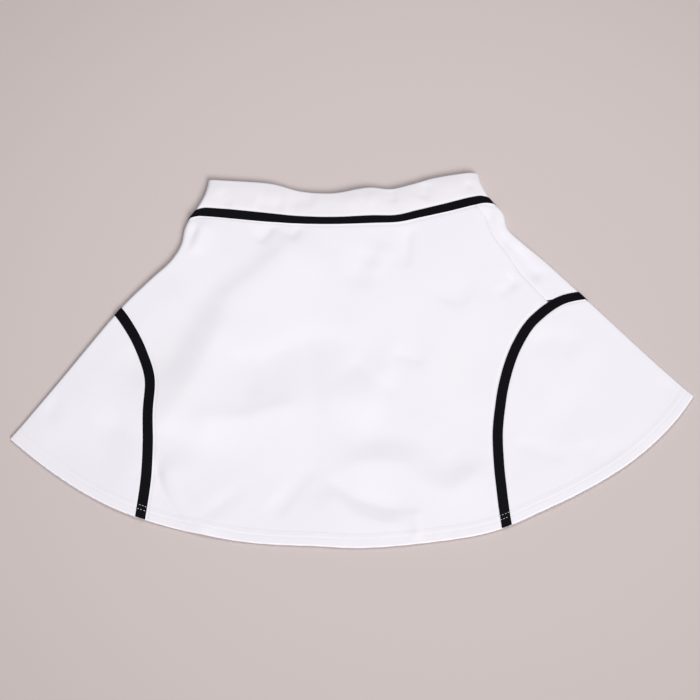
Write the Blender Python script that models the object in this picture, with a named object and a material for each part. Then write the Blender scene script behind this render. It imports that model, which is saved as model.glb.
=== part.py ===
"""White tennis skirt with black tapes, laid flat on its back and turned a little on itself.

The skirt is a flattened tube: an upper (front) layer and an under (back) layer joined by a
rounded fold down each side.  Every piece is a wall cut from that one tube.  A place on the tube
is given by two numbers: "down", from 0 at the waist seam to 1 at the hem and below 0 in the
waistband, and "around", the millimetres along that section, which start at the left fold, cross
the front to the right fold and come back along the back.
Sizes are in millimetres and become metres when a mesh is made.  +X is to the right of the
front, +Y towards the waist, +Z up; the origin is on the surface that the skirt lies on.
"""

import bisect
import functools
from collections import namedtuple
from math import cos, exp, hypot, pi, sin

import bmesh
import bpy

MM = 0.001

# Cloth and seams
CLOTH_WALL = 1.2
BAND_WALL = 2.0
TAPE_WIDTH = 10.0
TAPE_PROUD = 0.3
SEAM_GAP = 0.3
ARCH_GAP = 0.42
LENGTH_AT_SIDE = 318.0
BAND_HEIGHT = 35.0
SHIFT_Y = 3.4

# How far apart the two layers lie
LOWEST_GAP = 0.5
WIDEST_GAP = 3.6
FOLD_FADE = 26.0

# Arched tops of the side panels, from the top to the hem.  Each point lies half the arch's width
# from its middle.  The first point mirrors the third, so that the top is smooth.  The right
# arch's middle lies nearer to its fold than the side seam does, and its leg over the fold spreads
# less than its other one
ArchPoint = namedtuple("ArchPoint", "station half_width down")
LEFT_ARCH = (
    ArchPoint(-0.25, -30, 0.589),
    ArchPoint(0.00, 0, 0.578),
    ArchPoint(0.25, 30, 0.589),
    ArchPoint(0.50, 60, 0.623),
    ArchPoint(0.75, 88, 0.662),
    ArchPoint(1.00, 112, 0.703),
    ArchPoint(1.25, 131, 0.757),
    ArchPoint(1.50, 152, 0.819),
    ArchPoint(1.75, 172, 0.895),
    ArchPoint(2.00, 194, 1.000),
)
RIGHT_ARCH = (
    ArchPoint(-0.25, -34, 0.581),
    ArchPoint(0.00, 0, 0.560),
    ArchPoint(0.25, 34, 0.581),
    ArchPoint(0.50, 66, 0.625),
    ArchPoint(0.75, 97, 0.675),
    ArchPoint(1.00, 124, 0.724),
    ArchPoint(1.25, 150, 0.780),
    ArchPoint(1.50, 170, 0.842),
    ArchPoint(1.75, 188, 0.912),
    ArchPoint(2.00, 209, 1.000),
)
RIGHT_ARCH_SHIFT = 10.0
RIGHT_FOLD_LEG = 0.75

# Sections of the skirt as it lies.  Its folds don't lie on the side seams: "turned" is how far
# a side seam sits from its fold, in front on the right and behind on the left.  "Height" is how
# high the upper layer's outer face stands away from the folds
Section = namedtuple(
    "Section",
    "down left_x left_y right_x right_y middle_y left_bow right_bow turned fold_radius height",
)
SECTIONS = [
    Section(0.00, -158, 158, 158, 158, 143.5, 2.00, 2.00, 24, 3.1, 6.0),
    Section(0.07, -163.5, 145, 166.5, 146, 128.5, 2.03, 2.03, 23, 3.1, 5.9),
    Section(0.20, -168.5, 124, 170, 127, 100, 2.10, 2.10, 20.5, 3.0, 5.6),
    Section(0.30, -180, 106, 185, 108.5, 72.5, 2.20, 2.20, 24, 2.9, 5.4),
    Section(0.40, -200, 87, 204, 88, 44, 2.30, 2.30, 31.5, 2.7, 5.2),
    Section(0.60, -233, 52, 244, 40, -12, 2.40, 2.50, 35, 2.4, 5.0),
    Section(0.80, -291, -23, 298, -26, -122, 2.50, 2.70, 37, 2.0, 4.6),
    Section(1.00, -335, -79, 335, -69, -207, 2.55, 2.75, 38, 1.6, 3.6),
]

# The wavy waist: how high the seam and the top edge run, from the left fold to the right one
WaistPoint = namedtuple("WaistPoint", "across seam_y top_y")
WAIST = [
    WaistPoint(-1.00, 158, 201),
    WaistPoint(-0.92, 161, 200),
    WaistPoint(-0.53, 152, 193),
    WaistPoint(-0.30, 147, 182),
    WaistPoint(-0.06, 144, 178),
    WaistPoint(0.20, 143, 183),
    WaistPoint(0.36, 142.5, 180),
    WaistPoint(0.50, 147, 184),
    WaistPoint(0.68, 153, 191),
    WaistPoint(0.92, 161, 195),
    WaistPoint(1.00, 158, 194),
]

# The slightly wavy hem: how far it lies above its plain bowed section
HemPoint = namedtuple("HemPoint", "across lift")
HEM = [
    HemPoint(-1.00, 0.0),
    HemPoint(-0.72, 0.0),
    HemPoint(-0.50, 3.6),
    HemPoint(-0.30, 3.6),
    HemPoint(-0.14, 3.0),
    HemPoint(0.00, -0.6),
    HemPoint(0.20, 0.0),
    HemPoint(0.38, 0.0),
    HemPoint(0.52, 4.2),
    HemPoint(0.66, 3.6),
    HemPoint(0.85, -1.6),
    HemPoint(0.95, -2.4),
    HemPoint(1.00, 0.0),
]
HEM_WAVE_START = 0.80
TOP_HALF_WIDTH_LEFT = 138.5
TOP_HALF_WIDTH_RIGHT = 145.0
SEAM_HALF_WIDTH = 158.0
BAND_CURVE = 1.8
WAVE_FADE = 0.16

# The largest creases of the upper layer: a ridge has a positive rise, a trough a negative one
Crease = namedtuple("Crease", "start_x start_y end_x end_y bow width rise")
CREASES = [
    Crease(-34, 142, -184, -66, 14, 22, 0.9),
    Crease(-49, 145, -197, -32, 20, 14, -0.8),
    Crease(-178, -66, -27, -52, 10, 14, 0.8),
    Crease(-112, -30, 34, -34, -36, 20, -0.8),
    Crease(-24, -127, 134, -130, 8, 15, 0.8),
    Crease(-14, -102, 124, -116, 2, 13, -0.6),
    Crease(-28, -130, 52, -172, 9, 12, -0.8),
    Crease(-194, -104, -164, -174, 3, 10, -0.8),
    Crease(70, 141, 62, 84, 0, 14, -0.6),
    Crease(176, 114, 197, 62, 0, 9, -0.8),
]

# How finely the walls are divided
FOLD_STEPS = 6
PANEL_COLUMNS = 17
SIDE_PANEL_COLUMNS = 7
BAND_ROWS = 4
SEAM_ROWS = 10
ARCH_CURVE_STEPS = 6
ARCH_LEG_STEPS = 6
ARCH_FOLD_CROSSINGS = (-5.0, -3.3, -1.6, 0.0, 1.6, 3.3, 5.0)
SECTION_SAMPLES = 120
STATION_STEP = 0.001
DOWN_STEP = 0.002
AROUND_STEP = 0.5
MERGE = 0.02

WHITE_CLOTH = ("white_knit", (0.87, 0.86, 0.89), 0.8)
WHITE_ELASTIC = ("white_elastic", (0.82, 0.80, 0.84), 0.85)
BLACK_TAPE = ("black_tape", (0.012, 0.011, 0.014), 0.55)


def through(keys, values, at):
    """A smooth curve through a table's values: Catmull-Rom between its keys."""
    last = len(keys) - 1
    at = min(max(at, keys[0]), keys[last])
    i = min(max(bisect.bisect_right(keys, at) - 1, 0), last - 1)
    span = keys[i + 1] - keys[i]
    f = (at - keys[i]) / span
    slope_in = _slope(keys, values, i) * span
    slope_out = _slope(keys, values, i + 1) * span
    rise = values[i + 1] - values[i]
    return values[i] + f * slope_in + f * f * (3 * rise - 2 * slope_in - slope_out) + f * f * f * (
        slope_in + slope_out - 2 * rise
    )


def _slope(keys, values, i):
    """The curve's slope at row i of its table, from the rows beside it."""
    before = max(i - 1, 0)
    after = min(i + 1, len(keys) - 1)
    return (values[after] - values[before]) / (keys[after] - keys[before])


@functools.lru_cache(maxsize=None)
def section_at(down):
    """The section's measures at any height of the skirt."""
    keys = [s.down for s in SECTIONS]
    return Section(*[through(keys, column, down) for column in zip(*SECTIONS)])


def waist_wave(across):
    """How far the wavy waist seam departs from the plain bowed section there."""
    plain = bowed(SECTIONS[0], across)
    return through([w.across for w in WAIST], [w.seam_y for w in WAIST], across) - plain


def bowed(section, across):
    """The height in plan of a section that sags from its folds to its middle."""
    side_y, bow = section.left_y, section.left_bow
    if across > 0:
        side_y, bow = section.right_y, section.right_bow
    return section.middle_y + (side_y - section.middle_y) * abs(across) ** bow


def plan_point(across, down):
    """Where a place lies in plan; across runs from -1 at the left fold to 1 at the right."""
    if down < 0:
        up = min(-down * LENGTH_AT_SIDE / BAND_HEIGHT, 1.0)
        keys = [w.across for w in WAIST]
        seam_y = through(keys, [w.seam_y for w in WAIST], across)
        top_y = through(keys, [w.top_y for w in WAIST], across)
        top_half = TOP_HALF_WIDTH_LEFT if across < 0 else TOP_HALF_WIDTH_RIGHT
        half = top_half + (SEAM_HALF_WIDTH - top_half) * (1 - up) ** BAND_CURVE
        return half * across, seam_y + (top_y - seam_y) * up + SHIFT_Y
    section = section_at(down)
    middle_x = (section.left_x + section.right_x) / 2
    half = (section.right_x - section.left_x) / 2
    fade = max(1 - down / WAVE_FADE, 0.0) ** 2
    near_hem = max((down - HEM_WAVE_START) / (1 - HEM_WAVE_START), 0.0) ** 1.5
    hem_lift = through([p.across for p in HEM], [p.lift for p in HEM], across)
    y = bowed(section, across) + waist_wave(across) * fade + hem_lift * near_hem
    return middle_x + half * across, y + SHIFT_Y


@functools.lru_cache(maxsize=None)
def section_line(down):
    """A section's points in plan and how far along it each is, from the left fold."""
    acrosses = [2 * k / SECTION_SAMPLES - 1 for k in range(SECTION_SAMPLES + 1)]
    points = [plan_point(a, down) for a in acrosses]
    run = [0.0]
    for (x0, y0), (x1, y1) in zip(points, points[1:]):
        run.append(run[-1] + hypot(x1 - x0, y1 - y0))
    return points, run


def point_along(down, distance):
    """The place in plan at a distance along a section from its left fold."""
    points, run = section_line(down)
    distance = min(max(distance, 0.0), run[-1])
    i = min(max(bisect.bisect_right(run, distance) - 1, 0), len(run) - 2)
    f = (distance - run[i]) / (run[i + 1] - run[i])
    (x0, y0), (x1, y1) = points[i], points[i + 1]
    return x0 + f * (x1 - x0), y0 + f * (y1 - y0)


def fold_radius(down):
    return section_at(max(down, 0.0)).fold_radius


def half_girth(down):
    """Half of the way round the tube, on its outer face."""
    return section_line(down)[1][-1] + (pi - 2) * fold_radius(down)


def loft(x, y, down, from_fold):
    """How far the upper layer stands above its folds, with its creases."""
    section = section_at(max(down, 0.0))
    fold_height = 2 * section.fold_radius
    rise = section.height + sum(crease_rise(crease, x, y) for crease in CREASES) - fold_height
    rise *= 1 - exp(-((from_fold / FOLD_FADE) ** 2))
    lowest = 2 * CLOTH_WALL + LOWEST_GAP - fold_height
    highest = 2 * CLOTH_WALL + WIDEST_GAP - fold_height
    return min(max(rise, lowest), highest)


def crease_rise(crease, x, y):
    """A soft trough or ridge along a slightly bowed line, running out at both ends."""
    run_x = crease.end_x - crease.start_x
    run_y = crease.end_y - crease.start_y
    length = hypot(run_x, run_y)
    along = ((x - crease.start_x) * run_x + (y - crease.start_y) * run_y) / length
    aside = ((x - crease.start_x) * run_y - (y - crease.start_y) * run_x) / length
    share = along / length
    bowed_aside = aside - crease.bow * 4 * share * (1 - share)
    beyond = max(-along, along - length, 0.0)
    return crease.rise * exp(-((bowed_aside / crease.width) ** 2)) * exp(-((beyond / crease.width) ** 2))


def surface(around, down, depth=0.0):
    """A point on the tube, at a depth into the wall from its outer face."""
    radius = fold_radius(down)
    quarter = radius * pi / 2
    half = half_girth(down)
    around = (around + quarter) % (2 * half) - quarter
    width = section_line(down)[1][-1]
    if around <= quarter:
        return fold_point(around / radius, down, radius, depth, 0.0)
    if around < half - quarter:
        along = radius + around - quarter
        x, y = point_along(down, along)
        from_fold = min(along, width - along) - radius
        return x, y, 2 * radius + loft(x, y, down, from_fold) - depth
    if around <= half + quarter:
        return fold_point((half - around) / radius, down, radius, depth, width)
    x, y = point_along(down, radius + 2 * half - around - quarter)
    return x, y, max(depth, 0.0)


def fold_point(turn, down, radius, depth, fold_along):
    """A point on a fold, turned -90 degrees at the under layer to 90 at the upper one."""
    if depth < 0:
        depth *= (1 + sin(turn)) / 2
    inset = radius - (radius - depth) * cos(turn)
    x, y = point_along(down, abs(fold_along - inset))
    return x, y, radius + (radius - depth) * sin(turn)


def wall_object(name, places, wall, finish, closed=False, proud=0.0):
    """A wall of cloth lofted through rows of places on the tube, then given its thickness."""
    mesh = bpy.data.meshes.new(name)
    shell = bmesh.new()
    inner_face = shell.verts.layers.float_vector.new("inner_face")
    grid = []
    for row in places:
        verts = []
        for around, down in row:
            vert = shell.verts.new([MM * c for c in surface(around, down, -proud)])
            vert[inner_face] = [MM * c for c in surface(around, down, wall)]
            verts.append(vert)
        grid.append(verts)
    for upper, lower in zip(grid, grid[1:]):
        steps = len(upper) if closed else len(upper) - 1
        for k in range(steps):
            after = (k + 1) % len(upper)
            shell.faces.new((upper[k], lower[k], lower[after], upper[after]))
    bmesh.ops.remove_doubles(shell, verts=shell.verts, dist=MERGE * MM)
    inner = bmesh.ops.extrude_face_region(shell, geom=shell.faces[:], use_keep_orig=True)
    for vert in inner["geom"]:
        if isinstance(vert, bmesh.types.BMVert):
            vert.co = vert[inner_face]
    bmesh.ops.recalc_face_normals(shell, faces=shell.faces)
    shell.to_mesh(mesh)
    shell.free()
    mesh.materials.append(material_named(*finish))
    piece = bpy.data.objects.new(name, mesh)
    skirt_parts.objects.link(piece)
    return piece


def material_named(name, colour, roughness):
    material = bpy.data.materials.get(name)
    if material is None:
        material = bpy.data.materials.new(name)
        material.use_nodes = True
        shader = material.node_tree.nodes["Principled BSDF"]
        shader.inputs["Base Color"].default_value = (*colour, 1.0)
        shader.inputs["Roughness"].default_value = roughness
        shader.inputs["Metallic"].default_value = 0.0
    return material


def fold_turns(down):
    """The places around the left fold that draw its roundness."""
    quarter = fold_radius(down) * pi / 2
    return [quarter * (2 * k / FOLD_STEPS - 1) for k in range(FOLD_STEPS + 1)]


def spread(start, end, columns):
    return [start + (end - start) * k / columns for k in range(columns + 1)]


def seam_from_fold(down):
    """How far a side seam lies past its fold."""
    return section_at(max(down, 0.0)).turned


def middle_from_fold(arch, down):
    """How far the arch's middle lies past the same fold."""
    return seam_from_fold(down) - (RIGHT_ARCH_SHIFT if arch is RIGHT_ARCH else 0.0)


def arch_place(arch, station):
    """Half the arch's width and how far down it is: station 0 is its top, 2 the hem."""
    stations = [p.station for p in arch]
    half_width = through(stations, [p.half_width for p in arch], station)
    return half_width, through(stations, [p.down for p in arch], station)


def leg_share(arch, side):
    """How wide a leg spreads: the right arch's leg over the fold spreads less than its other one."""
    return RIGHT_FOLD_LEG if arch is RIGHT_ARCH and side == 1 else 1.0


def station_past_fold(arch, past_fold):
    """Where on the arch its longer leg lies a given way past the fold."""
    low, high = 0.0, 1.0
    for _ in range(50):
        middle = (low + high) / 2
        half_width, down = arch_place(arch, middle)
        if half_width * leg_share(arch, 1) - middle_from_fold(arch, down) < past_fold:
            low = middle
        else:
            high = middle
    return (low + high) / 2


@functools.lru_cache(maxsize=None)
def arch_stations(arch):
    """Places down a leg of the arch, closer together where it turns over the fold."""
    crossings = [station_past_fold(arch, c) for c in ARCH_FOLD_CROSSINGS]
    curve = spread(crossings[-1], 1.0, ARCH_CURVE_STEPS)[1:]
    leg = spread(1.0, 2.0, ARCH_LEG_STEPS)[1:]
    return [0.0, crossings[0] / 2, *crossings, *curve, *leg]


def arch_edge(arch, station, side, offset):
    """A place on a line beside the arch, measured from the fold that the arch lies over.

    Side is 1 for the leg that crosses the fold and -1 for the other; the offset is outwards from
    the arch, measured across the cloth.
    """
    half_width, down = arch_place(arch, station)
    spread_out = side * leg_share(arch, side)
    around = spread_out * half_width - middle_from_fold(arch, down)
    before = arch_place(arch, station - STATION_STEP)
    after = arch_place(arch, min(station + STATION_STEP, 2.0))
    run_down = after[1] - before[1]
    middle_run = middle_from_fold(arch, before[1]) - middle_from_fold(arch, after[1])
    run_around = spread_out * (after[0] - before[0]) + middle_run
    slide, stretch = cloth_metric(arch, around, down)
    area = (stretch * stretch - slide * slide) ** 0.5
    length = (run_around**2 + 2 * slide * run_around * run_down + (stretch * run_down) ** 2) ** 0.5
    if station == 2:
        return around + side * offset * length / (area * run_down), 1.0
    scale = side * offset / (area * length)
    around += scale * (slide * run_around + stretch * stretch * run_down)
    return around, down - scale * (run_around + slide * run_down)


def cloth_metric(arch, around, down):
    """How the cloth runs with "down" here: its slide along the section, and its whole run."""
    upper = min(down + DOWN_STEP, 1.0)
    lower = upper - 2 * DOWN_STEP
    (x0, y0), (x1, y1) = flat_place(arch, around, lower), flat_place(arch, around, upper)
    (x2, y2), (x3, y3) = [flat_place(arch, around + a, down) for a in (-AROUND_STEP, AROUND_STEP)]
    run_x, run_y = (x1 - x0) / (upper - lower), (y1 - y0) / (upper - lower)
    past_fold = 1 - exp(-((around / FOLD_FADE) ** 2))
    slide = (run_x * (x3 - x2) + run_y * (y3 - y2)) / (2 * AROUND_STEP)
    return slide * past_fold, hypot(run_x, run_y)


def flat_place(arch, around, down):
    """The plan of a place measured from the arch's own fold."""
    if arch is LEFT_ARCH:
        return point_along(down, abs(around))
    return point_along(down, section_line(down)[1][-1] - abs(around))


def fold_start(right, down):
    """How far round the tube the right or the left fold is."""
    return half_girth(down) if right else 0.0


def between(start, end, arounds, right):
    """Places at the given ways around, on the straight line from one border place to another."""
    row = []
    for around in arounds:
        share = (around - start[0]) / (end[0] - start[0]) if end[0] > start[0] else 0.0
        down = start[1] + (end[1] - start[1]) * share
        row.append((around + fold_start(right, down), down))
    return row


def panel(name, right):
    """The front panel, or the back one, which is the same cloth turned over the other fold."""
    near_arch, far_arch = (RIGHT_ARCH, LEFT_ARCH) if right else (LEFT_ARCH, RIGHT_ARCH)
    half_gap = SEAM_GAP / 2
    top = (TAPE_WIDTH / 2 + SEAM_GAP) / LENGTH_AT_SIDE
    offset = TAPE_WIDTH / 2 + ARCH_GAP
    foot = arch_place(near_arch, 0.0)[1] - offset / LENGTH_AT_SIDE
    borders = []
    for k in range(SEAM_ROWS):
        down = top + (foot - top) * k / SEAM_ROWS
        start = half_gap - seam_from_fold(down)
        end = half_girth(down) - seam_from_fold(down) - half_gap
        borders.append(((start, down), (end, down)))
    for near, far in zip(arch_stations(near_arch), arch_stations(far_arch)):
        start, start_down = arch_edge(near_arch, near, 1, offset)
        end, end_down = arch_edge(far_arch, far, -1, offset)
        start = max(start, half_gap - seam_from_fold(start_down))
        end = min(end, -half_gap - seam_from_fold(end_down)) + half_girth(end_down)
        borders.append(((start, start_down), (end, end_down)))
    rows = []
    for start, end in borders:
        turns = [start[0]] + [max(start[0], a) for a in fold_turns(start[1])]
        arounds = turns + spread(turns[-1], end[0], PANEL_COLUMNS)[1:]
        rows.append(between(start, end, arounds, right))
    return wall_object(name, rows, CLOTH_WALL, WHITE_CLOTH)


def side_panel(name, right):
    """A side panel with an arched top, folded over one side of the skirt."""
    arch = RIGHT_ARCH if right else LEFT_ARCH
    offset = -(TAPE_WIDTH / 2 + ARCH_GAP)
    rows = []
    for station in arch_stations(arch):
        start = arch_edge(arch, station, -1, offset)
        end = arch_edge(arch, station, 1, offset)
        turns = [min(max(a, start[0]), end[0]) for a in fold_turns(end[1])]
        behind = spread(start[0], turns[0], SIDE_PANEL_COLUMNS)[:-1]
        before = spread(turns[-1], end[0], SIDE_PANEL_COLUMNS)[1:]
        rows.append(between(start, end, behind + turns + before, right))
    return wall_object(name, rows, CLOTH_WALL, WHITE_CLOTH)


def arch_tape(name, right):
    """The tape round an arch, from the hem of one layer, over the fold, to the hem of the other."""
    arch = RIGHT_ARCH if right else LEFT_ARCH
    stations = arch_stations(arch)
    legs = [(station, -1) for station in reversed(stations[1:])] + [(station, 1) for station in stations]
    rows = []
    for offset in (TAPE_WIDTH / 2, 0.0, -TAPE_WIDTH / 2):
        row = []
        for station, side in legs:
            around, down = arch_edge(arch, station, side, offset)
            row.append((around + fold_start(right, down), down))
        rows.append(row)
    return wall_object(name, rows, CLOTH_WALL, BLACK_TAPE, proud=TAPE_PROUD)


def ring_row(down):
    """The places of one whole section, round both folds, with the panels' own columns."""
    half = half_girth(down)
    turns = fold_turns(down)
    upper = spread(turns[-1], half - seam_from_fold(down), PANEL_COLUMNS)[1:]
    one_side = turns + upper
    return [(a, down) for a in one_side + [a + half for a in one_side]]


def waist_tape(name):
    half = TAPE_WIDTH / 2
    rows = [ring_row(v / LENGTH_AT_SIDE) for v in (-half, 0.0, half)]
    return wall_object(name, rows, CLOTH_WALL, BLACK_TAPE, closed=True, proud=TAPE_PROUD)


def waistband(name):
    start = -(TAPE_WIDTH / 2 + SEAM_GAP) / LENGTH_AT_SIDE
    end = -BAND_HEIGHT / LENGTH_AT_SIDE
    rows = [ring_row(v) for v in reversed(spread(start, end, BAND_ROWS))]
    return wall_object(name, rows, BAND_WALL, WHITE_ELASTIC, closed=True)


for old in list(bpy.data.objects):
    bpy.data.objects.remove(old, do_unlink=True)

skirt_parts = bpy.data.collections.new("tennis_skirt")
bpy.context.scene.collection.children.link(skirt_parts)

panel("front_panel", right=False)
panel("back_panel", right=True)
side_panel("side_panel_left", right=False)
side_panel("side_panel_right", right=True)
arch_tape("arch_tape_left", right=False)
arch_tape("arch_tape_right", right=True)
waist_tape("waist_tape")
waistband("waistband")
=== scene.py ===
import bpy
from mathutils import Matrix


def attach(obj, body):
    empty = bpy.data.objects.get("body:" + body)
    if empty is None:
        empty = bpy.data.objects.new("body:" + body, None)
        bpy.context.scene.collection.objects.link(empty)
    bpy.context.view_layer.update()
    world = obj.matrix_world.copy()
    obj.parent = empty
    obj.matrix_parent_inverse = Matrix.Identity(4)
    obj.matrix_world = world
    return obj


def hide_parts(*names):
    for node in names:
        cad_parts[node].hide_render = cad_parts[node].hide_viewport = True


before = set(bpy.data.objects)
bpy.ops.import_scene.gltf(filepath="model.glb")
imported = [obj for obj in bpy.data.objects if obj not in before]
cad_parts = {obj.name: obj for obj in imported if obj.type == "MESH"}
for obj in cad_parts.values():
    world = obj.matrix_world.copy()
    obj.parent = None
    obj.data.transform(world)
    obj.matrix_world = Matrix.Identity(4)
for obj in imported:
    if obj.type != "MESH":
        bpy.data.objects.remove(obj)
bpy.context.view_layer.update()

from collections import namedtuple
from math import cos, pi, radians, sin

import bmesh
import bpy
import numpy as np
from mathutils import Vector, noise

# ---------------------------------------------------------------------------------------------
# Front and back panels.  The skirt is cut from a smooth white double knit of polyester and
# elastane, about 1 mm thick.  Each panel is one piece, joined to the other at the side seams,
# with its foot turned up 13 mm and held by two rows of twin-needle stitching.
# ---------------------------------------------------------------------------------------------

# The skirt is a flattened tube.  "Down" is 0 at the waist seam and 1 at the hem, and below 0 in
# the waistband; "around" is the millimetres along a section, from the left fold across the
# front to the right fold and back.  These are the form's own sections, in millimetres.
MM = 0.001
Section = namedtuple(
    "Section",
    "down left_x left_y right_x right_y middle_y left_bow right_bow turned fold_radius height",
)
SECTIONS = [
    Section(0.00, -158, 158, 158, 158, 143.5, 2.00, 2.00, 24, 4.1, 7.6),
    Section(0.07, -163.5, 145, 166.5, 146, 128.5, 2.03, 2.03, 23, 4.1, 7.6),
    Section(0.20, -168.5, 124, 170, 127, 100, 2.10, 2.10, 20.5, 3.9, 7.4),
    Section(0.30, -180, 106, 185, 108.5, 72.5, 2.20, 2.20, 24, 3.6, 7.1),
    Section(0.40, -200, 87, 204, 88, 44, 2.30, 2.30, 31.5, 3.2, 6.8),
    Section(0.60, -233, 52, 244, 40, -12, 2.40, 2.50, 35, 2.7, 6.1),
    Section(0.80, -291, -23, 298, -26, -122, 2.50, 2.70, 37, 2.1, 5.0),
    Section(1.00, -335, -79, 335, -69, -207, 2.55, 2.75, 38, 1.6, 3.5),
]
WaistPoint = namedtuple("WaistPoint", "across seam_y top_y")
WAIST = [
    WaistPoint(-1.00, 158, 201),
    WaistPoint(-0.92, 161, 200),
    WaistPoint(-0.53, 152, 193),
    WaistPoint(-0.30, 147, 182),
    WaistPoint(-0.06, 144, 178),
    WaistPoint(0.20, 143, 183),
    WaistPoint(0.36, 142.5, 180),
    WaistPoint(0.50, 147, 184),
    WaistPoint(0.68, 153, 191),
    WaistPoint(0.92, 161, 195),
    WaistPoint(1.00, 158, 194),
]
# The hem waves a little: how far it lies above its even curve
HemPoint = namedtuple("HemPoint", "across lift")
HEM = [
    HemPoint(-1.00, 0.0),
    HemPoint(-0.72, 0.0),
    HemPoint(-0.50, 3.6),
    HemPoint(-0.30, 3.6),
    HemPoint(-0.14, 3.0),
    HemPoint(0.00, -0.6),
    HemPoint(0.20, 0.0),
    HemPoint(0.38, 0.0),
    HemPoint(0.52, 4.2),
    HemPoint(0.66, 3.6),
    HemPoint(0.85, -1.6),
    HemPoint(0.95, -2.4),
    HemPoint(1.00, 0.0),
]
HEM_WAVE_START = 0.80
TOP_HALF_WIDTH_LEFT = 138.5
TOP_HALF_WIDTH_RIGHT = 145.0
SEAM_HALF_WIDTH = 158.0
BAND_CURVE = 1.8
WAVE_FADE = 0.16
LENGTH_AT_SIDE = 318.0
BAND_HEIGHT = 35.0
SHIFT_Y = 3.4
FOLD_FADE = 26.0
CREASE_FADE = 7.0
LOWEST_FACE = 2.8
LOWEST_BLEND = 0.3
HEM_TUCK = 2.2
HEM_TUCK_START = 0.93
HEM_TUCK_RUN = 0.06

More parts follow.
